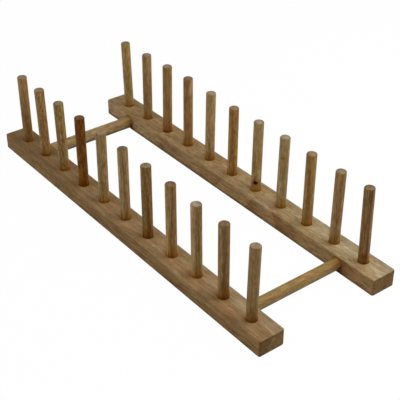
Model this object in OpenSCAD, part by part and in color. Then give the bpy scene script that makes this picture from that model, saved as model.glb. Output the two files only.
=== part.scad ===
// Small wooden rack that holds plates on edge.
// Two flat rails lie on the shelf. Each one carries a row of round upright pegs,
// and two round cross dowels join the rails into one rigid frame.
// X runs along the rails, Y from the front rail to the back rail, and Z is up.
// The origin is on the shelf, under the middle of the rack.

/* [Pegs] */
// Number of pegs in each row
pegs_per_row = 11; // [7:1:15]
// Distance from the centre of one peg to the centre of the next
peg_pitch = 35; // [28:0.5:50]
// Diameter of a peg
peg_d = 9.5; // [6:0.5:12]
// Height of a peg above the top of its rail
peg_height = 72; // [40:1:120]
// Rounding round the top edge of a peg
peg_top_round = 1.2; // [0.4:0.1:2.5]
// Chamfer round the foot of a peg, at the bottom of its hole
peg_foot_chamfer = 0.8; // [0.4:0.1:1.5]

/* [Rails] */
// Width of a rail, from its front side to its back side
rail_width = 26; // [20:0.5:40]
// Thickness of a rail, from its underside to its top
rail_thickness = 16; // [14:0.5:30]
// Length of rail from the centre of the last peg to the end
rail_end = 25; // [15:0.5:60]
// Clear gap between the two rails
rail_gap = 97; // [60:1:180]
// Radius of the rounding on the four long edges of a rail
rail_edge_round = 2; // [0.5:0.25:4]
// Radius of the rounding on the edges round each end of a rail
rail_end_round = 2.5; // [0.5:0.25:4]

/* [Cross dowels] */
// Diameter of a cross dowel
cross_d = 11; // [8:0.5:12]
// Gap between pegs that a cross dowel lies in, counted from the end of the rail
cross_bay = 1; // [1:1:3]
// Chamfer round each end of a cross dowel, inside its hole
cross_chamfer = 1; // [0.4:0.1:1.5]

/* [Drilled holes] */
// Wood left between the bottom of a peg hole and the underside of the rail
peg_hole_floor = 4; // [2:0.5:6]
// Wood left between the bottom of a cross dowel hole and the outer side of the rail
cross_hole_wall = 14; // [6:0.5:15]
// Room for glue between a peg or dowel and the wall of its hole
glue_gap = 0.1; // [0.05:0.05:0.3]

/* [Hidden] */
peg_span = (pegs_per_row - 1) * peg_pitch;
rail_length = peg_span + 2 * rail_end;
row_y = (rail_gap + rail_width) / 2;
cross_x = peg_span / 2 - (cross_bay - 0.5) * peg_pitch;
cross_z = rail_thickness / 2;
peg_hole_depth = rail_thickness - peg_hole_floor;
cross_hole_depth = rail_width - cross_hole_wall;
peg_length = peg_hole_depth + peg_height;
cross_length = rail_gap + 2 * cross_hole_depth;
peg_numbers = [1:pegs_per_row];
$fn = 64;

function peg_name(row, i) = str(row, "_peg_", i < 10 ? "0" : "", i);
function peg_x(i) = (i - 1) * peg_pitch - peg_span / 2;

// Rectangle with round corners, centred on the origin
module round_rectangle(length, width, radius) {
    square([length - 2 * radius, width], center = true);
    square([length, width - 2 * radius], center = true);
    for (x = [-1, 1])
        for (y = [-1, 1])
            translate([x * (length / 2 - radius), y * (width / 2 - radius)])
                circle(r = radius);
}

// Plain bar, centred on the origin, with its long edges and its ends eased
module eased_bar() {
    intersection() {
        rotate([90, 0, 90])
            linear_extrude(height = rail_length, center = true)
                round_rectangle(rail_width, rail_thickness, rail_edge_round);
        linear_extrude(height = rail_thickness, center = true)
            round_rectangle(rail_length, rail_width, rail_end_round);
        rotate([90, 0, 0])
            linear_extrude(height = rail_width, center = true)
                round_rectangle(rail_length, rail_thickness, rail_end_round);
    }
}

// Front rail, drilled for its pegs and, on its inner side, for the cross dowels.
// The back rail is the same board turned round.
module drilled_rail() {
    difference() {
        translate([0, 0, rail_thickness / 2])
            eased_bar();
        for (i = peg_numbers)
            translate([peg_x(i), 0, peg_hole_floor])
                cylinder(h = rail_thickness, d = peg_d + 2 * glue_gap);
        for (x = [-cross_x, cross_x])
            translate([x, cross_hole_wall - rail_width / 2, cross_z])
                rotate([-90, 0, 0])
                    cylinder(h = rail_width, d = cross_d + 2 * glue_gap);
    }
}

module front_rail() {
    color("#86694c")
        translate([0, -row_y, 0])
            drilled_rail();
}

module back_rail() {
    color("#8c7050")
        translate([0, row_y, 0])
            rotate([0, 0, 180])
                drilled_rail();
}

// Outline of half a peg, from its chamfered foot to its rounded top
module peg_profile() {
    r = peg_d / 2;
    t = peg_top_round;
    polygon([
        [0, 0],
        [r - peg_foot_chamfer, 0],
        [r, peg_foot_chamfer],
        [r, peg_length - t],
        [r - t, peg_length - t],
        [r - t, peg_length],
        [0, peg_length]
    ]);
    translate([r - t, peg_length - t])
        intersection() {
            circle(r = t);
            square(t);
        }
}

// Peg standing on the floor of its hole
module peg(i, side) {
    color(i == 4 && side < 0 ? "#5f351d" : "#80613f")
        translate([peg_x(i), side * row_y, peg_hole_floor])
            rotate_extrude()
                peg_profile();
}

// Cross dowel reaching from the bottom of one rail's hole to the other's
module cross_dowel(side) {
    r = cross_d / 2;
    c = cross_chamfer;
    color("#a0814f")
        translate([side * cross_x, -cross_length / 2, cross_z])
            rotate([-90, 0, 0])
                rotate_extrude()
                    polygon([
                        [0, 0],
                        [r - c, 0],
                        [r, c],
                        [r, cross_length - c],
                        [r - c, cross_length],
                        [0, cross_length]
                    ]);
}

module left_cross_dowel() { cross_dowel(-1); }
module right_cross_dowel() { cross_dowel(1); }

front_rail();
back_rail();
left_cross_dowel();
right_cross_dowel();
for (i = peg_numbers) {
    peg(i, -1);
    peg(i, 1);
}
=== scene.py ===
# %% [markdown]
# # A wooden plate rack
# This lesson dresses a small rack that holds plates on edge: two flat rails, a row of
# round pegs in each, and two thicker dowels that join the rails. The construction is
# loaded first, as a fixed frame in metres with Z up. Every visible piece is then modelled
# where the frame holds it, and gets its own wood.

# %% Load the construction
import math
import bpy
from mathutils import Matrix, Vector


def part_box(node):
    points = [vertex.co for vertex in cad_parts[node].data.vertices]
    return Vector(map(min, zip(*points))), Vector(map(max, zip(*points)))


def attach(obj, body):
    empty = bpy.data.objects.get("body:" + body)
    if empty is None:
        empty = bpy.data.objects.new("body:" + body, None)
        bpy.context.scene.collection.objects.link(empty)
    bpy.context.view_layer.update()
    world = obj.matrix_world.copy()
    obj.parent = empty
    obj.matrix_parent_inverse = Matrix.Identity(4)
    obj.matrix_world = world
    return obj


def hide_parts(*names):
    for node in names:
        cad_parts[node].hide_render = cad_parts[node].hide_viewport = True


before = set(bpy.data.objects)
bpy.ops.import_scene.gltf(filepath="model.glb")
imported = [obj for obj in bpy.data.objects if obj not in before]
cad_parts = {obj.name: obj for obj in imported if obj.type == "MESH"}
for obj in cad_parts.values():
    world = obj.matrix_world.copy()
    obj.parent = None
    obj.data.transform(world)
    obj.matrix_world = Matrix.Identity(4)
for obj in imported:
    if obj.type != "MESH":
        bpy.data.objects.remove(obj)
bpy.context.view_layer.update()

from types import SimpleNamespace

import bmesh
import bpy
from mathutils import Matrix, Vector

MM = 0.001
print("pieces in the frame:", len(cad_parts))

# %% [markdown]
# ## Sizes
# The frame knows how big each piece is, so the sizes are measured from it and not typed
# in again. A piece's box gives its length, width and thickness, and where its axis lies.

# %% Measure the frame
PEGS_PER_ROW = 11
PEG_NUMBERS = range(1, PEGS_PER_ROW + 1)


def middle(node):
    low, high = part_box(node)
    return (low + high) / 2


def size(node):
    low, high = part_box(node)
    return high - low


rail_size = size("front_rail")
rail_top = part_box("front_rail")[1].z
peg_radius = max(size("front_peg_01").x, size("front_peg_01").y) / 2
peg_foot, peg_top = (end.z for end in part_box("front_peg_01"))
peg_pitch = middle("front_peg_02").x - middle("front_peg_01").x
print("rail", [round(v / MM, 1) for v in rail_size])
print("peg diameter", round(2 * peg_radius / MM, 2), "pitch", round(peg_pitch / MM, 2))

# %% [markdown]
# ## Camera
# The photograph looks down on the rack from the front right, with a fairly long lens, so
# that the far ends of the rails shrink only a little. The camera stands at a measured
# point and is turned by three angles: round the rack, up or down, and a hair of roll.

# %% Place the camera
CAMERA_AT = Vector((0.61540, -0.45296, 0.51722))
ROUND, ABOVE, ROLL = 0.91287, 0.58595, 0.00304
LENS = 88.61

back = Vector((math.sin(ROUND) * math.cos(ABOVE), -math.cos(ROUND) * math.cos(ABOVE), math.sin(ABOVE)))
right = Vector((math.cos(ROUND), math.sin(ROUND), 0))
up = back.cross(right)
turned_right = math.cos(ROLL) * right + math.sin(ROLL) * up
turned_up = math.cos(ROLL) * up - math.sin(ROLL) * right

bpy.ops.object.camera_add()
camera = bpy.context.object
turn = Matrix((turned_right, turned_up, back)).transposed().to_4x4()
camera.matrix_world = Matrix.Translation(CAMERA_AT) @ turn
camera.data.lens = LENS
camera.data.sensor_width = 36
camera.data.clip_start = 0.05
camera.data.clip_end = 20
bpy.context.scene.camera = camera
bpy.context.scene.view_settings.view_transform = "Standard"
print("camera at", tuple(round(v, 3) for v in camera.location))

# %% [markdown]
# ## Nodes in one line each
# A material is a small tree of nodes, and it reads more easily when each node is one
# line. These helpers add a node, feed its inputs, and give back its output. They write
# into the tree that was opened last, so that no line has to name it.


# %% Node helpers
def linear(red, green, blue):
    """A colour as a paint program shows it, turned into the light that Blender counts in."""
    steps = [v / 255 for v in (red, green, blue)]
    return tuple(v / 12.92 if v <= 0.04045 else ((v + 0.055) / 1.055) ** 2.4 for v in steps)


def open_tree(owner):
    """From here on the helpers write into the tree of this material or world."""
    global tree
    owner.use_nodes = True
    tree = owner.node_tree


def feed(node, inputs):
    """Give each input its number or colour, or link it to the output of another node."""
    for key, value in inputs.items():
        if isinstance(value, bpy.types.NodeSocket):
            tree.links.new(value, node.inputs[key])
        else:
            node.inputs[key].default_value = value


def add(kind, inputs, output=0, **settings):
    node = tree.nodes.new("ShaderNode" + kind)
    for key, value in settings.items():
        setattr(node, key, value)
    feed(node, inputs)
    return node.outputs[output]


def maths(operation, *values):
    return add("Math", dict(enumerate(values)), operation=operation)


def less(value, amount):
    return maths("SUBTRACT", value, amount)


def times(first, second):
    return maths("MULTIPLY", first, second)


def absolute(value):
    return maths("ABSOLUTE", value)


print("node helpers ready")

# %% [markdown]
# Two more mix colours and two make patterns. A stain multiplies, so that the grain below
# it still shows. A cloud is soft noise, which is drawn out along the grain for streaks.


# %% Mix colours, make patterns
def opaque(colour):
    """Red, green and blue get the fourth number that Blender wants. An output stays as it is."""
    return colour + (1,) if isinstance(colour, tuple) else colour


def blend(share, first, second, way="MIX"):
    """Mix two colours: share 0 is the first, 1 the second. 6, 7 and 2 are its colour sockets."""
    inputs = {0: share, 6: opaque(first), 7: opaque(second)}
    return add("Mix", inputs, output=2, data_type="RGBA", blend_type=way)


def stain(share, colour, tint):
    """Multiply a colour by a tint: share 0 leaves it alone, 1 tints it in full."""
    return blend(share, colour, tint, "MULTIPLY")


def ease(value, low, high, start=0.0, end=1.0):
    """A soft step from start, where the value is low, to end, where it is high."""
    inputs = {"Value": value, "From Min": low, "From Max": high, "To Min": start, "To Max": end}
    return add("MapRange", inputs, interpolation_type="SMOOTHSTEP")


def cloud(place, across, along, detail=2, roughness=0.5, shift=(0, 0, 0), output=0):
    """Noise whose blots are so many millimetres across the grain and along it."""
    scaled = add("Mapping", {
        "Vector": place, "Location": shift, "Scale": (1 / across, 1 / across, 1 / along)})
    return add("TexNoise", {
        "Vector": scaled, "Scale": 1.0, "Detail": detail, "Roughness": roughness}, output=output)


print("blend, stain, ease and cloud ready")

# %% [markdown]
# ## Light
# A packshot is lit by big soft boxes in a pale room. Two hang close above the right half
# of the rack, where the tops of the rails are paler, and a wide one stands behind. Two
# more hang in front. They hang high, because the inner side of the back rail is as bright
# as the side of the front rail, and only light from above reaches both.


# %% Hang the soft boxes
AIM = Vector((0, 0, 30 * MM))


def soft_box(name, at, width, watts):
    bpy.ops.object.light_add(type="AREA", location=at)
    lamp = bpy.context.object
    lamp.name = name
    lamp.data.size = width
    lamp.data.energy = watts
    towards = AIM - Vector(at)
    lamp.rotation_euler = towards.to_track_quat("-Z", "Y").to_euler()
    return lamp


lamps = [
    soft_box("near_box", (0.32, 0.38, 0.50), 0.5, 1.6),
    soft_box("over_box", (0.40, 0.10, 0.80), 0.6, 2.6),
    soft_box("back_box", (0.0, 0.90, 0.70), 0.8, 2.0),
    soft_box("front_box", (0.0, -1.0, 1.4), 1.0, 6.0),
    soft_box("left_box", (-0.8, -0.8, 1.5), 1.0, 6.2),
]
print("soft boxes:", [(lamp.name, round(lamp.data.energy, 1)) for lamp in lamps])

# %% [markdown]
# ## Floor and room
# The background of the photograph is white with hardly any shadow. So the floor shows the
# camera a plain white with a small share of its lit surface, which keeps the soft shadow.
# All other light meets a pale floor, which throws some of it back up on the sides. The
# room is white to the camera and in reflections, and dimmer as a source of light.

# %% Lay the floor
ROOM_LIGHT = 0.16
FLOOR_WHITE_SHARE = 0.98


def seen_directly():
    """1 for what the camera, a reflection or a clear piece looks at, otherwise 0."""
    path = tree.nodes.new("ShaderNodeLightPath").outputs
    either = maths("MAXIMUM", path["Is Camera Ray"], path["Is Glossy Ray"])
    return maths("MAXIMUM", either, path["Is Transmission Ray"])


bpy.ops.mesh.primitive_plane_add(size=8)
floor = bpy.context.object
floor.name = "floor"
paper = bpy.data.materials.new("white_floor")
open_tree(paper)
tree.nodes.remove(tree.nodes["Principled BSDF"])
lit = add("BsdfDiffuse", {"Color": (0.72, 0.72, 0.72, 1)})
lit_to_camera = add("BsdfDiffuse", {"Color": (0.9, 0.9, 0.9, 1)})
white = add("Emission", {"Color": (1, 1, 1, 1), "Strength": 1.0})
shown = add("MixShader", {0: FLOOR_WHITE_SHARE, 1: lit_to_camera, 2: white})
both = add("MixShader", {0: seen_directly(), 1: lit, 2: shown})
feed(tree.nodes["Material Output"], {"Surface": both})
floor.data.materials.append(paper)

room = bpy.data.worlds.new("white_room")
bpy.context.scene.world = room
open_tree(room)
strength = ease(seen_directly(), 0.0, 1.0, ROOM_LIGHT, 1.0)
feed(tree.nodes["Background"], {"Color": (1, 1, 1, 1), "Strength": strength})
print("floor and room are white to the camera")

# %% [markdown]
# ## Helpers for modelling
# Blender's operators work on whatever is selected, so each step first lets go of
# everything and takes up one piece. In edit mode the edges to round are picked by where
# they lie, because numbers of edges change as soon as a shape is touched.


# %% Take up a piece, pick its edges, round them
HAIR = 0.001 * MM


def take_up(piece):
    bpy.ops.object.select_all(action="DESELECT")
    piece.select_set(True)
    bpy.context.view_layer.objects.active = piece


def name_piece(name):
    piece = bpy.context.object
    piece.name = name
    piece.data.name = name
    return piece


def settle(piece):
    """Write the piece's place, turn and scale into its mesh."""
    take_up(piece)
    bpy.ops.object.transform_apply()


def both_ends_at(**places):
    """A test for the edges whose two ends have these coordinates."""
    def wanted(a, b):
        return all(abs(getattr(end, axis) - place) < HAIR
                   for end in (a, b) for axis, place in places.items())
    return wanted


def pick(piece, kind, wanted):
    """Go into edit mode with only the wanted edges or faces selected, and count them."""
    take_up(piece)
    bpy.ops.object.mode_set(mode="EDIT")
    bpy.ops.mesh.select_mode(type=kind)
    bpy.ops.mesh.select_all(action="DESELECT")
    mesh = bmesh.from_edit_mesh(piece.data)
    parts = [part for part in (mesh.edges if kind == "EDGE" else mesh.faces) if wanted(part)]
    for part in parts:
        part.select_set(True)
    bmesh.update_edit_mesh(piece.data)
    return len(parts)


def round_edges(piece, wanted, radius, segments):
    """Bevel the edges whose two ends pass the test."""
    count = pick(piece, "EDGE", lambda edge: wanted(edge.verts[0].co, edge.verts[1].co))
    bpy.ops.mesh.bevel(offset=radius, segments=segments, profile=0.5, affect="EDGES")
    bpy.ops.object.mode_set(mode="OBJECT")
    return count


def finish_surface(piece, angle=32):
    """Smooth the rounded parts and keep the flat ones flat."""
    take_up(piece)
    bpy.ops.object.shade_smooth_by_angle(angle=math.radians(angle))
    flat = piece.modifiers.new("flat faces stay flat", "WEIGHTED_NORMAL")
    flat.keep_sharp = True
    bpy.ops.object.modifier_apply(modifier=flat.name)


def report(piece):
    mesh = bmesh.new()
    mesh.from_mesh(piece.data)
    open_edges = sum(not edge.is_manifold for edge in mesh.edges)
    print(piece.name, "faces", len(mesh.faces), "open edges", open_edges,
          "size mm", [round(v / MM, 2) for v in piece.dimensions])
    mesh.free()


# %% [markdown]
# ## How each peg stands
# Pegs are knocked into their holes by hand, so none stands quite upright or ends at quite
# the same height. The table holds each peg's lean, as the millimetres that its top is off
# to the side, and how much taller or shorter it is than drawn. It leans about its hole,
# which is later drilled along the same line. The cross dowels have a table too: the left
# one is thicker than the right one, and both lie a little off the line drawn for them.

# %% Lean and height of the pegs
LEAN_AND_RISE = {
    "front": [(-0.3, -1.2), (-1.3, -0.8), (-1.0, -0.2), (0.0, -0.2), (0.4, 0.0), (-0.1, 0.2),
              (-0.2, 0.4), (-0.3, -0.2), (-0.7, -1.0), (-0.5, -0.4), (0.9, -1.0)],
    "back": [(-1.6, 0.6), (0.3, 0.3), (0.6, 1.2), (0.2, 1.9), (0.8, 0.4), (0.4, -0.5),
             (0.5, 0.3), (0.8, 0.5), (0.0, 0.4), (0.3, 0.1), (-1.6, 2.0)],
}
peg_height = peg_top - rail_top


def peg_name(row, number):
    return f"{row}_peg_{number:02d}"


def foot_of(row, number):
    """Where the peg's axis leaves the top of the rail."""
    spot = middle(peg_name(row, number))
    return Vector((spot.x, spot.y, rail_top))


def turn_of(row, number):
    """The turn that leans an upright peg, as a four by four matrix."""
    sideways = LEAN_AND_RISE[row][number - 1][0] * MM
    line = Vector((right.x * sideways, right.y * sideways, peg_height))
    return Vector((0, 0, 1)).rotation_difference(line).to_matrix().to_4x4()


DOWEL_LIE = {  # radius, millimetres to the right, millimetres up, upward tilt to the back
    "left": (6.0 * MM, 0.7, -0.27, 0.0), "right": (5.2 * MM, 0.0, 0.6, 0.0062)}


def axis_of(side):
    """The turn and place of a dowel that was made upright at the origin."""
    radius, across, rise, tilt = DOWEL_LIE[side]
    place = middle(side + "_cross_dowel") + Vector((across * MM, 0, rise * MM))
    return Matrix.Translation(place) @ Matrix.Rotation(tilt - math.radians(90), 4, "X")


def inner_face(row):
    """Where the side of a rail that looks at the other rail lies, along Y."""
    low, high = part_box(row + "_rail")
    return high.y if row == "front" else low.y


def mouth_of(side, row):
    """Where the dowel's axis enters the inner side of a rail."""
    stand = axis_of(side)
    return stand @ Vector((0, 0, inner_face(row) - stand.translation.y))


steepest = max(abs(lean) for row in LEAN_AND_RISE.values() for lean, rise in row)
print("steepest lean, degrees:", round(math.degrees(math.atan(steepest * MM / peg_height)), 2))

# %% [markdown]
# ## Rails
# A rail is a flat bar of hardwood with all its edges eased and a row of holes drilled
# from above, plus two holes in its inner side for the cross dowels. It could be drawn
# around the holes, but a joiner planes the bar first and drills it afterwards, and that
# order works here too. A cube is sized, and its upright corners are rounded, then the
# edges of its underside and its top. A sander held by hand takes more from one corner
# than from the next, so each has a radius of its own.

# %% Plane the bars
# all in millimetres; the corners are near left, near right, far left, far right
CORNER_ROUND = {"front": (2.2, 1.8, 2.2, 2.5), "back": (3.4, 1.8, 2.2, 2.7)}
TOP_EDGE_ROUND = {"front": 0.9, "back": 1.2}
FOOT_EDGE_ROUND = {"front": 1.9, "back": 0.7}


def plane_bar(row):
    node = row + "_rail"
    low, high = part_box(node)
    bpy.ops.mesh.primitive_cube_add(size=1, location=middle(node))
    bar = name_piece(row + "_rail_wood")
    bar.scale = size(node)
    settle(bar)
    corners = ((low.x, low.y), (high.x, low.y), (low.x, high.y), (high.x, high.y))
    for (x, y), radius in zip(corners, CORNER_ROUND[row]):
        round_edges(bar, both_ends_at(x=x, y=y), radius * MM, segments=6)
    for level, radius in ((low.z, FOOT_EDGE_ROUND[row]), (high.z, TOP_EDGE_ROUND[row])):
        round_edges(bar, both_ends_at(z=level), radius * MM, segments=5)
    return bar


bars = {row: plane_bar(row) for row in ("front", "back")}
for bar in bars.values():
    report(bar)

# %% [markdown]
# A drill is a cylinder on the axis of its own peg or dowel, wider by a gap for the glue.
# The drills of a rail are joined first, so that one boolean takes them all away.

# %% Drill the holes
GLUE_GAP = 0.1 * MM
ROUND_SIDES = 48
DRILL_RUNOUT = 10 * MM


def drill_bit(radius, length, matrix):
    """A cylinder that starts at its tip and points along the matrix's Z."""
    bpy.ops.mesh.primitive_cylinder_add(vertices=ROUND_SIDES, radius=radius, depth=length)
    bit = bpy.context.object
    bit.matrix_world = matrix @ Matrix.Translation((0, 0, length / 2))
    return bit


def peg_bit(row, number):
    depth = rail_top - peg_foot
    stand = Matrix.Translation(foot_of(row, number)) @ turn_of(row, number)
    tip = Matrix.Translation((0, 0, -depth))
    return drill_bit(peg_radius + GLUE_GAP, depth + DRILL_RUNOUT, stand @ tip)


def cross_bit(side, row):
    """A drill for a cross dowel, entering the inner side of the rail."""
    half_dowel = size(side + "_cross_dowel").y / 2
    depth = half_dowel - abs(mouth_of(side, row).y)
    start = -half_dowel if row == "front" else half_dowel - depth - DRILL_RUNOUT
    tip = Matrix.Translation((0, 0, start))
    return drill_bit(DOWEL_LIE[side][0] + GLUE_GAP, depth + DRILL_RUNOUT, axis_of(side) @ tip)


def drill(bar, bits):
    bpy.ops.object.select_all(action="DESELECT")
    for bit in bits:
        bit.select_set(True)
    bpy.context.view_layer.objects.active = bits[0]
    bpy.ops.object.join()
    settle(bits[0])
    take_up(bar)
    cut = bar.modifiers.new("drilled", "BOOLEAN")
    cut.operation = "DIFFERENCE"
    cut.solver = "EXACT"
    cut.object = bits[0]
    bpy.ops.object.modifier_apply(modifier=cut.name)
    bpy.data.objects.remove(bits[0])


for row, bar in bars.items():
    bits = [peg_bit(row, number) for number in PEG_NUMBERS]
    bits += [cross_bit(side, row) for side in DOWEL_LIE]
    drill(bar, bits)
    report(bar)

# %% [markdown]
# A drill leaves a sharp rim, which glue and a wipe of sandpaper soften. It catches a fine
# line of shade round each peg and dowel, so it gets a small bevel of its own. Its edges
# are found by the face they lie in and by how near they are to the middle of a hole.

# %% Soften the rims
RIM_ROUND = 0.3 * MM
RIM_REACH = 5 * GLUE_GAP


def soften_rims(bar, axis, face, slack, spots, radius):
    """Round the rims that lie in a face, each near one of the spots."""
    def wanted(a, b):
        return all(abs(getattr(end, axis) - face) < slack
                   and any((end - spot).length < radius + RIM_REACH for spot in spots) for end in (a, b))
    return round_edges(bar, wanted, RIM_ROUND, segments=2)


for row, bar in bars.items():
    feet = [foot_of(row, number) for number in PEG_NUMBERS]
    rims = soften_rims(bar, "z", rail_top, HAIR, feet, peg_radius)
    mouths = sum(soften_rims(bar, "y", inner_face(row), GLUE_GAP, [mouth_of(side, row)], lie[0])
                 for side, lie in DOWEL_LIE.items())
    finish_surface(bar)
    report(bar)
    print("rim edges", rims, "mouth edges", mouths)

# %% [markdown]
# ## Pegs
# A peg is a length of round dowel. Its top edge is rubbed round and the end grain swells
# a little, and its foot is chamfered so that it starts in its hole. One peg is turned
# well, from a cylinder: the top ring is bevelled in four steps, the foot ring in one, and
# the top is inset and lifted by a hair.

# %% Turn one peg
TOP_ROUND = 1.2 * MM
FOOT_CHAMFER = 0.8 * MM
TOP_RINGS = 2
TOP_RING_WIDTH = 1.1 * MM
TOP_SWELL = 0.15 * MM

foot = peg_foot - rail_top
bpy.ops.mesh.primitive_cylinder_add(vertices=ROUND_SIDES, radius=peg_radius, depth=peg_height - foot,
                                    location=(0, 0, (peg_height + foot) / 2))
first_peg = name_piece("first_peg")
settle(first_peg)
round_edges(first_peg, both_ends_at(z=peg_height), TOP_ROUND, segments=4)
round_edges(first_peg, both_ends_at(z=foot), FOOT_CHAMFER, segments=1)

pick(first_peg, "FACE", lambda face: face.normal.z > 0.999)
for ring in range(TOP_RINGS):
    bpy.ops.mesh.inset(thickness=TOP_RING_WIDTH, depth=TOP_SWELL / TOP_RINGS)
bpy.ops.object.mode_set(mode="OBJECT")
finish_surface(first_peg, angle=40)
report(first_peg)

# %% [markdown]
# All the pegs are copies of that one, each with a mesh of its own, because linked copies
# would change together. A copy is stretched to its height and leaned about its hole.


# %% Copy, stretch and lean
def stand_peg(row, number):
    take_up(first_peg)
    bpy.ops.object.duplicate(linked=False)
    peg = name_piece(peg_name(row, number) + "_wood")
    rise = LEAN_AND_RISE[row][number - 1][1] * MM
    stretch = Matrix.Diagonal((1, 1, (peg_height + rise) / peg_height, 1))
    peg.matrix_world = Matrix.Translation(foot_of(row, number)) @ turn_of(row, number) @ stretch
    settle(peg)
    return peg


pegs = {(row, number): stand_peg(row, number) for row in bars for number in PEG_NUMBERS}
bpy.data.objects.remove(first_peg)
heights = [max(v.co.z for v in peg.data.vertices) for peg in pegs.values()]
print("pegs", len(pegs), "tops in mm", [round(end / MM, 1) for end in (min(heights), max(heights))])

# %% [markdown]
# ## Cross dowels
# Two thicker dowels hold the rails apart, and lie low between them. Each is one upright
# cylinder with both ends chamfered, so that it starts easily in its holes. It is then laid
# down along the axis that was measured for it.

# %% Lay the cross dowels
DOWEL_CHAMFER = 1.0 * MM


def lay_dowel(side):
    node = side + "_cross_dowel"
    half_dowel = size(node).y / 2
    bpy.ops.mesh.primitive_cylinder_add(vertices=ROUND_SIDES, radius=DOWEL_LIE[side][0],
                                        depth=2 * half_dowel)
    dowel = name_piece(node + "_wood")
    round_edges(dowel, lambda a, b: min(abs(a.z), abs(b.z)) > half_dowel - HAIR,
                DOWEL_CHAMFER, segments=2)
    dowel.matrix_world = axis_of(side)
    settle(dowel)
    finish_surface(dowel, angle=40)
    report(dowel)
    return dowel


dowels = {side: lay_dowel(side) for side in DOWEL_LIE}

# %% [markdown]
# ## Each piece stands for its node
# The frame's own solids stay for the weight and for what touches what, and are hidden
# here. Every new piece rides on the one body of the rack.

# %% Tie the pieces to the frame
def stand_for(piece, node):
    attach(piece, "root")
    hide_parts(node)


for row, bar in bars.items():
    stand_for(bar, row + "_rail")
for side, dowel in dowels.items():
    stand_for(dowel, side + "_cross_dowel")
for (row, number), peg in pegs.items():
    stand_for(peg, peg_name(row, number))
print("pieces tied:", len(bars) + len(dowels) + len(pegs))

# %% [markdown]
# ## Wood
# Wood is a stack of growth layers, cut by the face of the piece. Seen along the grain the
# layers are long streaks of a paler and a darker brown, and across it they are arcs. Over
# them lie fine fibres, open pores like pencil dashes and, in some pegs, reddish flecks.
# All of it could be painted, but a picture would have to be unwrapped and would stretch.
# Here the colour comes from the place of each point in the block of wood, so the streaks
# on a side run on over the edge into the end grain. The place is first counted in
# millimetres and turned so that its Z runs along the grain.

# %% The block of wood
ALONG_Z = (0, 0, 0)
ALONG_X = (0, math.radians(-90), 0)
ALONG_Y = (math.radians(90), 0, 0)


def coordinates(kind):
    return tree.nodes.new("ShaderNodeTexCoord").outputs[kind]


def split_up(place):
    """The X, Y and Z of a place or a direction, each an output of its own."""
    node = tree.nodes.new("ShaderNodeSeparateXYZ")
    feed(node, {0: place})
    return node.outputs


def spot_of():
    """Where a point lies in the whole rack, in metres."""
    return split_up(coordinates("Object"))


def block(centre, turn):
    """The place in the piece, in millimetres from its middle with Z along the grain, and how
    much the surface faces along the grain."""
    start = Matrix.Rotation(turn[1], 3, "Y") @ Matrix.Rotation(turn[0], 3, "X") @ Vector(centre)
    place = add("Mapping", {
        "Vector": coordinates("Object"), "Location": tuple(-start / MM), "Rotation": turn,
        "Scale": (1 / MM, 1 / MM, 1 / MM)})
    facing = add("Mapping", {"Vector": coordinates("Normal"), "Rotation": turn})
    return place, absolute(split_up(facing)["Z"])


def shade(colour, noise, depth, warmth=1.0):
    """Darken towards red-brown where the noise is low, and pale towards straw where it is high."""
    low = (1 - depth, 1 - (1 + 0.15 * warmth) * depth, 1 - (1 + 0.5 * warmth) * depth)
    high = (1 + depth, 1 + (1 + 0.1 * warmth) * depth, 1 + (1 + 0.3 * warmth) * depth)
    return stain(1.0, colour, blend(ease(noise, 0.3, 0.7), low, high))


def faces_towards(axis, low, high, start=0.0, end=1.0):
    """A share that depends on how much the surface faces along X, Y or Z."""
    facing = split_up(coordinates("Normal"))[axis]
    return ease(facing, low, high, start, end)


print("grain runs along X in the rails, Y in the cross dowels, Z in the pegs")

# %% [markdown]
# The recipe goes from the whole timber down to its surface: bend the block a little, cut
# the growth layers, tint broad patches, lay the fibres, open the pores, and last treat
# the end grain and the rubbed edges. What differs from one piece to another, such as its
# tone or how strongly its layers show, is a setting with a plain name.

# %% Settings of the recipe
SEED_SHIFTS = (7.3, 3.1, 5.7)
LAYER_SHIFT = 13.7
PLAIN = dict(
    tone=linear(148, 118, 71), dark=0.62, layers=3.2, figure=0.35, pith=26.0, climb=0.06,
    lines=0.15, pink=0.4, patch=(6, 24), khaki=(1.0, 1.04, 0.94), pinkish=(1.05, 0.92, 0.88),
    mottle=0.13, grain=0.14, streak=(1.5, 32), fibres=0.22, warmth=2.2, pores=0.5, flecks=None,
    ends=linear(138, 114, 78), end_share=0.85, end_patches=0.16, end_layers=0.16, rim=0.5,
    roughness=0.5, gloss=0.2, seed=0.0, extras=(), end_extras=())


def tinted(tone, red, green, blue):
    return (tone[0] * red, tone[1] * green, tone[2] * blue)


print("settings:", ", ".join(sorted(PLAIN)))

# %% [markdown]
# A tree's layers are rings round its pith, and these pieces were cut well to one side of
# it. So the distance from a pith line drives a noise of one dimension, and not a wave,
# because rings of an even width would look printed.


# %% Cut the growth layers
def bent_block(place, seed, sway=9):
    """The block after a slow drift of the grain, in millimetres."""
    drift = cloud(place, 18, 60, detail=1, shift=seed, output="Color")
    drift = add("VectorMath", {0: drift, 1: (0.5, 0.5, 0.5)}, operation="SUBTRACT")
    return add("VectorMath", {0: drift, 1: (sway, sway, 0), 2: place}, operation="MULTIPLY_ADD")


def growth(bent, look):
    """Growth layers round a pith line off to one side: 0 is late and dark, 1 is early and pale."""
    from_pith = add("Mapping", {
        "Vector": bent, "Scale": (1, 1, look.climb),
        "Location": (math.cos(ROUND) * look.pith, math.sin(ROUND) * look.pith, 0)})
    distance = add("VectorMath", {0: from_pith}, output="Value", operation="LENGTH")
    count = maths("MULTIPLY_ADD", distance, 1 / look.layers, look.seed * LAYER_SHIFT)
    return add("TexNoise", {"W": count, "Scale": 1.0, "Detail": 2.0, "Roughness": 0.6},
               noise_dimensions="1D")


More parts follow.
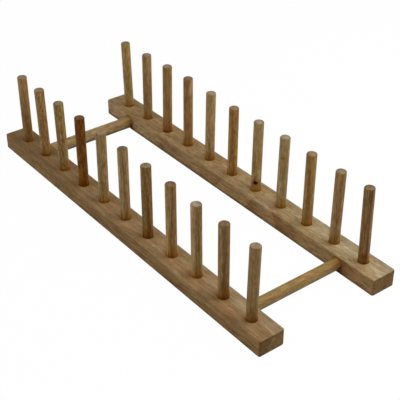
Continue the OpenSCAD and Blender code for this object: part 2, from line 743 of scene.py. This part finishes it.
print("layers about", PLAIN["layers"], "mm thick, pith", PLAIN["pith"], "mm away")

# %% [markdown]
# Streaks, fibres and pores are clouds drawn out along the grain, each finer than the
# last. On the sawn ends the same fibres are seen end on, as dots.


# %% Lay the grain
def line_where(value, level, width, strength, core=0.0):
    """A line where the value crosses a level: full in its core, and gone a width away."""
    off = absolute(less(value, level))
    return ease(off, core, width, strength, 0.0)


def side_grain(place, look, layer, seed, other_seed):
    """The colour of the long faces, and the fibres and pores that roughen them as well."""
    tone = look.tone
    late = tinted(tone, look.dark, look.dark * 0.9, look.dark * 0.75)
    early = tinted(tone, 1.16, 1.2, 1.3)
    colour = blend(look.figure, tone, blend(ease(layer, 0.34, 0.66), late, early))
    line = line_where(layer, 0.47, 0.035, look.lines)
    colour = blend(line, colour, tinted(tone, 0.5, 0.42, 0.32))
    patch = ease(cloud(place, *look.patch, shift=other_seed), 0.38, 0.64)
    colour = stain(look.pink * 2, colour, blend(patch, look.khaki, look.pinkish))

    mottle = cloud(place, 2.6, 8, detail=3, roughness=0.6, shift=other_seed)
    grain = cloud(place, *look.streak, detail=2, roughness=0.6, shift=seed)
    fibre = cloud(place, 0.9, 9, detail=3, roughness=0.65, shift=seed)
    fine = cloud(place, 0.32, 6, shift=other_seed)
    for noise, depth in ((mottle, look.mottle), (grain, look.grain),
                         (fibre, look.fibres), (fine, look.fibres * 0.5)):
        colour = shade(colour, noise, depth, look.warmth)
    dashes = cloud(place, 0.5, 3.6, detail=1, shift=other_seed)
    pore = ease(dashes, 0.6, 0.72, 0.0, look.pores)
    colour = blend(pore, colour, tinted(tone, 0.4, 0.34, 0.28))
    if look.flecks:
        strength, fleck_tone = look.flecks
        fleck = cloud(place, 1.2, 4.0, detail=1, roughness=0.4, shift=seed)
        colour = blend(ease(fleck, 0.52, 0.62, 0.0, strength), colour, fleck_tone)
    return colour, fibre, fine, pore


def end_grain(place, look, layer, seed, other_seed):
    """The colour of the sawn ends: dots, broad patches and the arcs of the layers."""
    dots = cloud(place, 0.42, 0.42, detail=1, shift=seed)
    patches = cloud(place, 3.0, 3.0, detail=2, shift=other_seed)
    colour = shade(look.ends, dots, 0.18)
    colour = shade(colour, patches, look.end_patches)
    return shade(colour, layer, look.end_layers)


print("grain ready for the long faces and the sawn ends")

# %% [markdown]
# How much a surface faces along the grain decides how much of the end grain it shows.
# The marks of single pieces are tinted on before the two are joined. Fibres and pores
# also change the roughness, and raise a slight bump.


# %% Make the wood
def wood(name, centre, turn, **changes):
    look = SimpleNamespace(**{**PLAIN, **changes})
    material = bpy.data.materials.new(name)
    open_tree(material)
    place, end_facing = block(centre, turn)
    seed = tuple(look.seed * shift for shift in SEED_SHIFTS)
    other_seed = seed[::-1]

    layer = growth(bent_block(place, seed), look)
    colour, fibre, fine, pore = side_grain(place, look, layer, seed, other_seed)
    for step in look.extras:
        colour = step(place, colour)
    ends = end_grain(place, look, layer, seed, other_seed)
    for step in look.end_extras:
        ends = step(place, ends)
    colour = blend(ease(end_facing, 0.55, 0.92, 0.0, look.end_share), colour, ends)
    outwards = ease(end_facing, 0.1, 0.45)
    rim = times(outwards, ease(end_facing, 0.97, 0.7, 0.0, look.rim))
    colour = blend(rim, colour, tinted(look.tone, 0.42, 0.34, 0.25))

    rough = ease(fibre, 0.3, 0.7, look.roughness + 0.05, look.roughness - 0.05)
    rough = maths("MULTIPLY_ADD", pore, 0.2, rough)
    height = maths("MULTIPLY_ADD", fine, 0.6, fibre)
    height = maths("MULTIPLY_ADD", pore, -0.9, height)
    relief = add("Bump", {"Height": height, "Strength": 0.35, "Distance": 0.2 * MM}, output="Normal")
    feed(tree.nodes["Principled BSDF"], {
        "Base Color": colour, "Roughness": rough, "Normal": relief, "Specular IOR Level": look.gloss})
    return material


def dress(piece, material):
    piece.data.materials.clear()
    piece.data.materials.append(material)


print("recipe ready: wood, dress")

# %% [markdown]
# ## Wood of the rails
# The two rails are the same timber. Their tops carry painted light along with their tone:
# the front one is darker, browner and pinker at its left end, and the back one turns to pale
# straw at its right end with a painted sheen. Their lower edges get painted shade. Each such
# trait is a mark: a function that takes the colour so far and gives it back tinted. A piece
# lists its marks with their settings, and the recipe calls them when it makes the wood.


# %% Marks that follow the faces
SAME = (1, 1, 1)  # a tint that changes nothing
UPWARDS, TO_THE_FRONT = ("Z", 0.3, 0.9), ("Y", -0.5, -0.9)
INNER_SIDE = {"front": ("Y", 0.5, 0.9), "back": TO_THE_FRONT}


def mark(paint):
    """A mark gets its settings first, and the place and the colour when it is used."""
    def with_settings(*settings, **named):
        return lambda place, colour: paint(place, colour, *settings, **named)
    return with_settings


@mark
def tone_and_painted_light(place, colour, facing, start, full_at, left_tint, right_tint=SAME):
    """Tint the faces that look one way, from one colour at the left to another further right. It carries
    the wood's own tone, and also painted light along the rails.
    """
    tint = blend(ease(spot_of()["X"], start, full_at), left_tint, right_tint)
    return stain(faces_towards(*facing), colour, tint)


@mark
def painted_side_band(place, colour, low, high, tint, from_x=-1.0, full_at=-0.9):
    """Painted light on the side, fading in over a range of heights: a painted highlight under the top
    arris, and painted shade along the lower arris.
    """
    spot = spot_of()
    share = times(ease(spot["Z"], low, high), ease(spot["X"], from_x, full_at))
    return stain(times(share, faces_towards(*TO_THE_FRONT)), colour, tint)


# Painted shade: the faces that look down are darkened, like the shadow under a piece standing on the
# floor.
def underside_painted_shade(place, colour):
    return stain(faces_towards("Z", -0.05, -0.5), colour, (0.25, 0.2, 0.16))


def far_corner_painted_shade(place, colour):
    """Painted shade on the rounded upright edge between an end and the far side, which turns away from
    the light.
    """
    share = times(faces_towards("X", 0.1, 0.35), faces_towards("Y", 0.1, 0.35))
    return stain(share, colour, (0.62, 0.52, 0.44))


@mark
def end_tone_and_edge_shade(place, colour, row, near, far):
    """The near and the far part of an end face, and painted shade along its borders, where the rounded
    edges turn away from the light.
    """
    spot = spot_of()
    across = less(spot["Y"], middle(row + "_rail").y)
    upwards = less(spot["Z"], rail_top / 2)
    gap = maths("MINIMUM", less(rail_size.y / 2, absolute(across)), less(rail_top / 2, absolute(upwards)))
    gap = maths("MULTIPLY_ADD", cloud(place, 2.5, 2.5), 1.6 * MM, gap)
    wave = cloud(place, 5, 5, shift=(2, 3, 1))
    across = maths("MULTIPLY_ADD", wave, 10 * MM, across)
    colour = stain(1.0, colour, blend(ease(across, 0.0, 3 * MM), near, far))
    # painted shade along the borders of the end face
    border_shade = ease(gap, 1.2 * MM, 3.0 * MM, 1.0, 0.0)
    return stain(border_shade, colour, (0.58, 0.5, 0.42))


print("marks ready for tops, sides, corners and ends")

# %% [markdown]
# Other marks follow the grain. The line where two tones of wood meet is never straight,
# so a slow cloud pushes it to and fro.


# %% Marks that follow the grain
def nudged(value, noise, amount):
    """The value, pushed to and fro by a noise that varies about a half."""
    return maths("MULTIPLY_ADD", less(noise, 0.5), amount, value)


def beyond_line(place, y, line_y):
    """How far a point lies beyond a line along the rail, which wanders with the grain."""
    return nudged(less(y, line_y), cloud(place, 9, 34), 9 * MM)


@mark
def straw_half(place, colour, from_x, full_at, middle_y):
    """Paler straw wood on the inner half of the upper face, pinker wood on the outer half, and
    a thin red line where they meet."""
    spot = spot_of()
    inward = beyond_line(place, spot["Y"], middle_y)
    tint = blend(ease(inward, -1 * MM, 1 * MM), (0.91, 0.86, 0.84), (1.1, 1.23, 1.4))
    tint = blend(line_where(inward, 0.0, 0.9 * MM, 0.8), tint, (0.82, 0.7, 0.62))
    share = times(ease(spot["X"], from_x, full_at), faces_towards(*UPWARDS))
    return stain(share, colour, tint)


@mark
def browner_inner_edge(place, colour, from_x, full_at, width, tint):
    """A browner strip on the back rail's upper face, along the edge over its inner side."""
    spot = spot_of()
    inward = beyond_line(place, spot["Y"], inner_face("back"))
    share = ease(inward, width * 0.7, width, 1.0, 0.0)
    share = times(share, ease(spot["X"], from_x, full_at))
    return stain(times(share, faces_towards(*UPWARDS)), colour, tint)


@mark
def slanted_patch(place, colour, line_at, reach, slant, tint):
    """A browner patch on the inner side: sharp at a slanted line, and gone within its reach,
    which is to the left where it is negative. Both are in millimetres."""
    spot = spot_of()
    above = less(spot["Z"], rail_top / 2)
    x = maths("MULTIPLY_ADD", above, -slant, spot["X"])
    x = nudged(x, cloud(place, 5, 12), 3 * MM)
    begins = ease(x, line_at * MM, (line_at + math.copysign(1.2, reach)) * MM)
    share = times(begins, ease(x, line_at * MM, (line_at + reach) * MM, 1.0, 0.0))
    return stain(times(share, faces_towards("Y", -0.6, -0.9)), colour, tint)


@mark
def broad_figure(place, colour, strength, shift):
    """Islands of darker wood with a thin dark outline, as where the saw crosses a wavy layer."""
    island = cloud(place, 13, 34, detail=1, shift=(shift, 0, shift))
    tint = blend(ease(island, 0.46, 0.54), (1.07, 1.06, 1.05), (0.86, 0.83, 0.8))
    tint = blend(line_where(island, 0.5, 0.016, 0.6), tint, (0.7, 0.62, 0.55))
    return stain(strength, colour, tint)


@mark
def dark_lines_below(place, colour, strength):
    """Dark open lines of grain on the sides, more of them low down."""
    lines = cloud(place, 1.1, 18, detail=3, roughness=0.6, shift=(5, 9, 2))
    share = ease(spot_of()["Z"], 0.0, rail_top, strength, strength * 0.4)
    share = times(ease(lines, 0.48, 0.6), share)
    side = absolute(faces_towards("Y", -1.0, 1.0, -1.0, 1.0))
    return stain(times(share, ease(side, 0.6, 0.9)), colour, (0.5, 0.41, 0.31))


print("marks ready for halves, strips, patches, figure and open lines")

# %% [markdown]
# Round each peg the glue and the finish have left an amber stain, and a thin dark ring of
# painted contact shade lies at its foot. Round each dowel lies amber glue, with a painted
# shadow under it. The pegs stand at an even pitch, so one ring, wrapped along the rail,
# serves them all.


# %% Glue and painted shade round the holes
def length_of(first, second):
    """The distance that two distances at right angles come to."""
    both = add("CombineXYZ", {0: first, 1: second})
    return add("VectorMath", {0: both}, output="Value", operation="LENGTH")


def ring_share(distance, radius, width, strength):
    """Full at a hole's edge, and gone so many metres outside it."""
    return ease(distance, radius, radius + width, strength, 0.0)


@mark
def glue_and_contact_shade(place, colour, row):
    """An amber stain of glue and finish round every peg, found by the pitch, with a thin ring of
    painted contact shade, and amber glue round the cross dowels with a painted shadow under them."""
    spot = spot_of()
    first = foot_of(row, 1)
    along = less(spot["X"], first.x)
    along = maths("WRAP", along, peg_pitch / 2, -peg_pitch / 2)
    off = length_of(along, less(spot["Y"], first.y))
    colour = stain(ring_share(off, peg_radius, 5.5 * MM, 0.8), colour, (1.06, 0.95, 0.78))
    # painted contact shade: a thin dark ring where each peg meets the rail
    ring = ring_share(off, peg_radius, 0.6 * MM, 0.25)
    colour = blend(ring, colour, linear(84, 56, 26))
    inner = faces_towards(*INNER_SIDE[row])
    for side in DOWEL_LIE:
        mouth, radius = mouth_of(side, row), DOWEL_LIE[side][0]
        height = less(spot["Z"], mouth.z)
        off = length_of(less(spot["X"], mouth.x), height)
        glue = times(inner, ring_share(off, radius, 3.5 * MM, 0.8))
        colour = blend(glue, colour, linear(134, 89, 37))
        # painted shadow: dark under each cross dowel, along the rail's lower edge
        under = times(inner, ease(height, -3.5 * MM, -6.5 * MM))
        shadow_under_dowel = times(under, ring_share(off, radius, 6.5 * MM, 1.0))
        colour = blend(shadow_under_dowel, colour, linear(62, 22, 2))
    return colour


print("a ring every", round(peg_pitch / MM, 1), "mm")

# %% [markdown]
# Each rail lists its marks in the order in which they are laid on. Places are in metres,
# but for the slanted patches, which are in millimetres. The tints were found by comparing
# renders with the photograph.

# %% Dress the rails
rail_end = rail_size.x / 2
SLANTED_PATCHES = [  # sharp at, reach, slant, tint
    (-4.5, -30, 0.68, (0.84, 0.8, 0.77)), (-4.5, -3, 0.68, (0.78, 0.72, 0.66)),
    (39.5, 24, 0.66, (0.8, 0.7, 0.63)), (39.5, 3, 0.66, (0.82, 0.78, 0.74)),
    (75.5, 45, -0.5, (0.68, 0.57, 0.5)), (98, 16, -0.5, (0.87, 0.83, 0.79)),
    (159, 30, 0, (0.8, 0.7, 0.6))]
RAIL_MARKS = {
    "front": (
        # painted light and tone: the front top darkens towards its left end and is paler and greyer at
        # the right, with a painted sheen
        tone_and_painted_light(UPWARDS, -rail_end, 0.08, (0.67, 0.675, 0.77), (1.02, 1.1, 1.36)),
        # painted light: the left end of the front side is lifted, where the lamps' light falls off
        tone_and_painted_light(TO_THE_FRONT, -rail_end, 0.0, (1.04, 1.1, 1.1)),
        straw_half(0.05, 0.17, middle("front_rail").y), far_corner_painted_shade,
        # painted highlight: a pale strip just under the top arris of the front side
        painted_side_band(0.009, 0.012, (1.18, 1.24, 1.32), 0.03, 0.09),
        broad_figure(0.4, 3.0), dark_lines_below(1.0)),
    "back": (
        # painted light and tone: the back top is darker at its left end and paler towards the right, with
        # a painted sheen at the right end
        tone_and_painted_light(UPWARDS, -0.02, rail_end, (0.755, 0.762, 0.795), (0.855, 1.01, 1.31)),
        tone_and_painted_light(UPWARDS, -0.13, -0.06, SAME, (1.12, 1.17, 1.17)), far_corner_painted_shade,
        browner_inner_edge(0.05, 0.11, 11 * MM, (0.9, 0.82, 0.7)),
        # painted light: the left end of the inner side is lifted, where the lamps' light falls off
        tone_and_painted_light(TO_THE_FRONT, -0.165, -0.09, (1.27, 1.34, 1.6)),
        tone_and_painted_light(TO_THE_FRONT, -0.112, -0.096, SAME, (0.8, 0.79, 0.78)),
        tone_and_painted_light(TO_THE_FRONT, -0.076, -0.064, SAME, (1.25, 1.27, 1.28)),
        tone_and_painted_light(TO_THE_FRONT, 0.08, rail_end, SAME, (0.87, 0.84, 0.8)),
        # painted shade along the lower arris of the inner side, in two bands
        painted_side_band(0.005, 0.001, (0.72, 0.66, 0.58)),
        painted_side_band(0.0055, 0.002, (0.75, 0.7, 0.64), 0.08, 0.03),
        broad_figure(0.55, 8.0),
        *(slanted_patch(*patch) for patch in SLANTED_PATCHES), dark_lines_below(0.7)),
}
END_FACES = {
    "front": end_tone_and_edge_shade("front", (0.67, 0.54, 0.5), (1.02, 0.99, 0.96)),
    "back": end_tone_and_edge_shade("back", (0.88, 0.76, 0.71), (0.85, 0.74, 0.68))}
RAIL_WOOD = dict(
    layers=7.0, pith=40.0, lines=0.12, climb=0.04, patch=(9, 26), khaki=(1.0, 1.03, 1.05),
    pinkish=(1.03, 0.94, 0.92), grain=0.05, streak=(2.4, 42), warmth=1.0, ends=linear(122, 98, 61),
    end_patches=0.22, end_layers=0.06, rim=0.35, roughness=0.62, gloss=0.06)
RAIL_LOOKS = {
    "front": dict(tone=linear(148, 118, 75), seed=1.0, figure=0.3, mottle=0.1, fibres=0.12),
    "back": dict(tone=linear(168, 139, 97), seed=2.0, figure=0.15, mottle=0.15, fibres=0.2)}
for row, bar in bars.items():
    dress(bar, wood(row + "_rail_wood", middle(row + "_rail"), ALONG_X, **RAIL_WOOD, **RAIL_LOOKS[row],
                    extras=RAIL_MARKS[row] + (underside_painted_shade, glue_and_contact_shade(row)),
                    end_extras=(END_FACES[row], far_corner_painted_shade)))
print("marks on the rails:", {row: len(marks) for row, marks in RAIL_MARKS.items()})

# %% [markdown]
# ## Wood of the cross dowels
# The thick dowels are a yellower timber than the rails, straight in the grain. Near the
# back rail the glue has soaked into them and left them amber, and their lower side there
# carries painted shade. The right one's flanks carry a painted reflection of the floor.


# %% Dress the cross dowels
def flank_floor_reflection(place, colour):
    """A painted reflection of the pale floor: the flanks and underside of the dowel are paler and greyer.
    """
    return stain(faces_towards("Z", 0.6, 0.2), colour, (1.1, 1.2, 1.4))


def amber_end_and_shade(place, colour):
    reach = inner_face("back") / MM
    near = ease(split_up(place)["Z"], reach - 14, reach)
    colour = stain(near, colour, (0.86, 0.7, 0.38))
    # painted shade: the lower side of the dowel next to the back rail is darkened; the amber above is
    # glue
    low = times(near, faces_towards("Z", 0.5, 0.0))
    return stain(low, colour, (0.75, 0.62, 0.45))


DOWEL_WOOD = dict(figure=0.12, lines=0.05, grain=0.1, mottle=0.16, streak=(2.0, 16), warmth=1.2)
DOWEL_LOOKS = {
    "left": dict(tone=linear(153, 130, 89), seed=3.0, extras=(amber_end_and_shade, underside_painted_shade)),
    "right": dict(tone=linear(147, 119, 70), seed=4.0,
                  extras=(flank_floor_reflection, amber_end_and_shade, underside_painted_shade))}
for side, dowel in dowels.items():
    dress(dowel, wood(side + "_dowel_wood", middle(side + "_cross_dowel"), ALONG_Y,
                      **DOWEL_WOOD, **DOWEL_LOOKS[side]))
print("dowels dressed:", len(dowels))

# %% [markdown]
# ## Wood of the pegs
# The pegs were cut from many sticks, so no two match: straw, tan, honey, brown, and one
# that is a dark red-brown. Some show a dark layer down the middle, some are freckled, and
# four have a knot. Every one is darker and more amber at its foot, partly where glue soaked
# in and partly from painted shade and the warm light the rail throws up.

# %% Marks that single pegs have
towards_camera = Vector((math.sin(ROUND), -math.cos(ROUND), 0))


def along_direction(place, direction):
    """How far out a place lies along a direction."""
    return add("VectorMath", {0: place, 1: tuple(direction)}, output="Value", operation="DOT_PRODUCT")


@mark
def foot_glue_and_shade(place, colour, strength, height=15):
    """Glue soaked into the foot of a peg, which is darker and more amber also from painted shade
    and the warm light the rail throws up, and a dark collar of painted contact shade just above the rail.
    """
    level = split_up(place)["Z"]
    colour = stain(ease(level, 0.0, height, strength, 0.0), colour, (0.96, 0.75, 0.29))
    return stain(ease(level, 1.0, 3.2, strength, 0.0), colour, (0.76, 0.64, 0.5))


@mark
def turns_paler(place, colour, low, high, below, above=SAME):
    """A slow change of tint up the peg, from the height low to the height high."""
    height = maths("MULTIPLY_ADD", cloud(place, 6, 20), 20, split_up(place)["Z"])
    tint = blend(ease(height, low + 10, high + 10), below, above)
    return stain(1.0, colour, tint)


@mark
def layer_up(place, colour, offset, half_width, strength, tint=(0.6, 0.5, 0.4), low=-90, high=90):
    """One growth layer that runs up the peg, at an offset across the view."""
    wander = cloud(place, 30, 30, shift=(offset, 0, 0))
    across = nudged(along_direction(place, right), wander, 3.0)
    share = line_where(across, offset, half_width, strength, half_width * 0.4)
    height = split_up(place)["Z"]
    level = times(ease(height, low, low + 6), ease(height, high, high - 6))
    return stain(times(share, level), colour, tint)


@mark
def knot(place, colour, level, offset, radius, tint=(0.1, 0.018, 0.008), halo_tint=(0.88, 0.66, 0.5)):
    """A small dark branch end on the side that faces the view, with a halo round it."""
    beside = less(along_direction(place, right), offset)
    above = less(split_up(place)["Z"], level)
    distance = length_of(beside, above)
    distance = nudged(distance, cloud(place, 1.5, 1.5), radius * 1.1)
    front = ease(along_direction(place, towards_camera), 0.0, 1.5)
    halo = times(ease(distance, radius, radius * 2.3, 0.85, 0.0), front)
    core = times(ease(distance, radius * 0.5, radius * 1.1, 1.0, 0.0), front)
    return stain(core, stain(halo, colour, halo_tint), tint)


@mark
def top_wear_and_light(place, colour, strength, lean):
    """The top of a peg: painted light on the near part, which faces the camera, and painted shade
    round its far rim. How strong it is differs from peg to peg, as the tops are worn pale to differing
    degrees.
    """
    nearer = along_direction(place, towards_camera)
    distance = length_of(less(along_direction(place, right), lean), nearer)
    # painted light on the near part of the top, painted shade round its far rim
    tint = blend(ease(nearer, -3.8, 4.3), (0.55, 0.5, 0.46), (1.43, 1.46, 1.5))
    rim = times(ease(distance, 2.2, 3.6), ease(nearer, 2.5, -1.0))
    return stain(strength, colour, stain(rim, tint, (0.62, 0.56, 0.5)))


print("marks ready for feet, layers, knots and tops")

# %% [markdown]
# Each peg has one row: the tone of its sides and of its sawn ends, its own marks, and the
# settings in which it differs from the plain recipe. Heights and offsets are counted in
# millimetres from where its axis leaves the rail.

# %% Looks of the front pegs
STRAW, KHAKI, TAN = linear(162, 137, 93), linear(155, 128, 83), linear(147, 117, 72)
OLIVE, HONEY, BROWN = linear(160, 133, 82), linear(149, 115, 64), linear(140, 108, 62)
UMBER, RED_BROWN = linear(131, 99, 54), linear(112, 66, 10)
PALE_END, GREY_END, TAN_END = linear(138, 124, 106), linear(122, 106, 83), linear(131, 114, 86)
BROWN_END, RED_END, DARK_END = linear(111, 85, 55), linear(101, 76, 45), linear(90, 63, 33)
RED_FLECKS, DARK_FLECKS = linear(116, 68, 32), linear(88, 64, 30)


def peg_look(tone, ends, *marks, foot=1.0, **settings):
    """One peg's wood: the tone of its side and of its ends, and the marks that only it has."""
    # foot sets the strength of the glue stain and of the painted shade at the peg's foot
    return dict(tone=tone, ends=ends, extras=marks + (foot_glue_and_shade(foot),), **settings)


FRONT_LOOKS = [
    peg_look(BROWN, tinted(GREY_END, 0.92, 0.93, 0.9),
             turns_paler(20, 44, (0.88, 0.86, 0.8), (1.12, 1.2, 1.38)),
             turns_paler(44, 54, SAME, (1.22, 1.24, 1.32)), foot=0.6),
    peg_look(tinted(TAN, 1.15, 1.18, 1.18), tinted(GREY_END, 0.95, 0.92, 0.82),
             turns_paler(0, 12, (0.88, 0.84, 0.8)), flecks=(0.68, RED_FLECKS)),
    peg_look(tinted(OLIVE, 0.95, 0.96, 0.92), tinted(GREY_END, 0.88, 0.88, 0.84),
             layer_up(-4.2, 2.8, 0.65, (0.7, 0.65, 0.57)), flecks=(0.7, RED_FLECKS)),
    peg_look(tinted(RED_BROWN, 1.18, 1.24, 1.4), DARK_END,
             turns_paler(20, 56, (1.12, 1.22, 1.3), (0.88, 0.86, 0.8)), pink=0.1, gloss=0.1, mottle=0.2,
             fibres=0.3, flecks=(0.4, linear(62, 30, 10))),
    peg_look(KHAKI, GREY_END, figure=0.2, flecks=(0.4, DARK_FLECKS)),
    peg_look(tinted(KHAKI, 0.95, 0.96, 1.04), tinted(RED_END, 0.72, 0.64, 0.58), pink=0.3, lines=0.4,
             grain=0.18),
    peg_look(tinted(UMBER, 1.04, 1.06, 0.85), GREY_END, turns_paler(8, 26, (0.87, 0.77, 0.66)),
             figure=0.6, lines=0.3, grain=0.2, flecks=(0.6, DARK_FLECKS)),
    peg_look(TAN, tinted(BROWN_END, 0.78, 0.73, 0.69), layer_up(1.5, 2.5, 0.5),
             layer_up(-4.2, 1.5, 0.6, (1.5, 1.6, 1.8)),
             turns_paler(20, 50, (1.06, 1.08, 1.08), (0.99, 0.94, 0.92)), pink=0.6, grain=0.18),
    peg_look(tinted(KHAKI, 1.04, 1.03, 1.03), PALE_END, layer_up(1.6, 4.0, 0.6),
             layer_up(-3.4, 1.6, 0.45, (1.4, 1.65, 2.2)), turns_paler(24, 40, (1.1, 1.12, 1.12)),
             foot=0.75, figure=0.2, grain=0.18),
    peg_look(tinted(TAN, 0.93, 0.94, 0.92), tinted(BROWN_END, 0.9, 0.89, 0.87),
             layer_up(-0.3, 2.4, 0.75, (0.68, 0.62, 0.5)), layer_up(3.0, 2.4, 0.6, (0.85, 0.68, 0.55)),
             turns_paler(2, 16, (0.97, 0.8, 0.66)), grain=0.2),
    peg_look(tinted(TAN, 0.91, 0.91, 0.89), TAN_END, grain=0.08, mottle=0.09),
]
print("front pegs described:", len(FRONT_LOOKS))

# %% [markdown]
# The back pegs are paler as a row, and the four knots are all among them.

# %% Looks of the back pegs
BACK_LOOKS = [
    peg_look(tinted(OLIVE, 1.1, 1.11, 1.2), BROWN_END, foot=0.75, flecks=(0.4, DARK_FLECKS)),
    peg_look(TAN, tinted(GREY_END, 0.88, 0.9, 0.92),
             turns_paler(26, 50, (0.92, 0.88, 0.84), (1.1, 1.14, 1.3)), foot=0.7),
    peg_look(HONEY, GREY_END, turns_paler(4, 22, (0.85, 0.78, 0.7), (1.02, 1.04, 1.12)), grain=0.08,
             mottle=0.09),
    peg_look(tinted(HONEY, 0.98, 0.99, 1.16), RED_END, layer_up(2.9, 2.2, 0.9, (1.4, 1.6, 2.2), low=55)),
    peg_look(STRAW, tinted(PALE_END, 0.82, 0.82, 0.8), layer_up(-0.5, 1.6, 0.35),
             turns_paler(12, 22, (0.86, 0.84, 0.84))),
    peg_look(tinted(HONEY, 1.12, 1.12, 1.05), tinted(TAN_END, 0.82, 0.77, 0.72), foot=0.8,
             flecks=(0.35, RED_FLECKS)),
    peg_look(tinted(STRAW, 1.06, 1.08, 1.14), PALE_END, knot(10.0, -1.0, 2.7), gloss=0.05),
    peg_look(tinted(STRAW, 1.02, 1.07, 1.12), PALE_END,
             knot(53, -0.8, 1.6, (0.78, 0.72, 0.64), (0.86, 0.81, 0.74))),
    peg_look(tinted(HONEY, 1.1, 1.11, 1.14), tinted(GREY_END, 0.95, 0.9, 0.76), layer_up(-1.5, 2.0, 0.25),
             layer_up(3.6, 2.2, 0.5, (0.98, 1.12, 1.25)), foot=0.75, grain=0.14),
    peg_look(tinted(TAN, 1.04, 1.1, 1.25), tinted(GREY_END, 0.93, 0.91, 0.87),
             knot(56, 0.3, 1.2, (0.86, 0.8, 0.72), (0.92, 0.88, 0.83)), foot=0.75, grain=0.18),
    peg_look(tinted(UMBER, 1.04, 1.06, 1.08), tinted(BROWN_END, 0.88, 0.89, 0.9),
             layer_up(-1.0, 2.6, 0.5), layer_up(3.6, 2.2, 0.8, (1.25, 1.45, 1.7)),
             knot(8, -1.2, 2.0, (0.75, 0.55, 0.48)), foot=0.8, figure=0.5, lines=0.45, grain=0.28,
             fibres=0.3),
]
print("back pegs described:", len(BACK_LOOKS))

# %% [markdown]
# Every top has been rubbed pale by plates and hands, some much more than others, and is
# painted lighter on its near part and darker round its far rim. How strong this is, is
# listed here for each peg, and then the wood of all twenty-two is made.

# %% Dress the pegs
PEG_LOOKS = {"front": FRONT_LOOKS, "back": BACK_LOOKS}
TOP_WEAR_AND_LIGHT = {
    "front": (0.3, 0.4, 0.4, 0.5, 0.1, 0.75, 0.3, 1.0, 0.15, 0.2, 0.25),
    "back": (0.4, 0.15, 0.3, 0.35, 0.3, 0.4, 0.35, 0.2, 0.3, 0.5, 0.8)}
for (row, number), peg in pegs.items():
    at = number - 1
    top_marks = (top_wear_and_light(TOP_WEAR_AND_LIGHT[row][at], LEAN_AND_RISE[row][at][0]),)
    seed = number + (PEGS_PER_ROW if row == "back" else 0)
    dress(peg, wood(peg_name(row, number) + "_wood", foot_of(row, number), ALONG_Z,
                    **PEG_LOOKS[row][at], seed=seed, end_extras=top_marks))
print("materials:", len(bpy.data.materials))
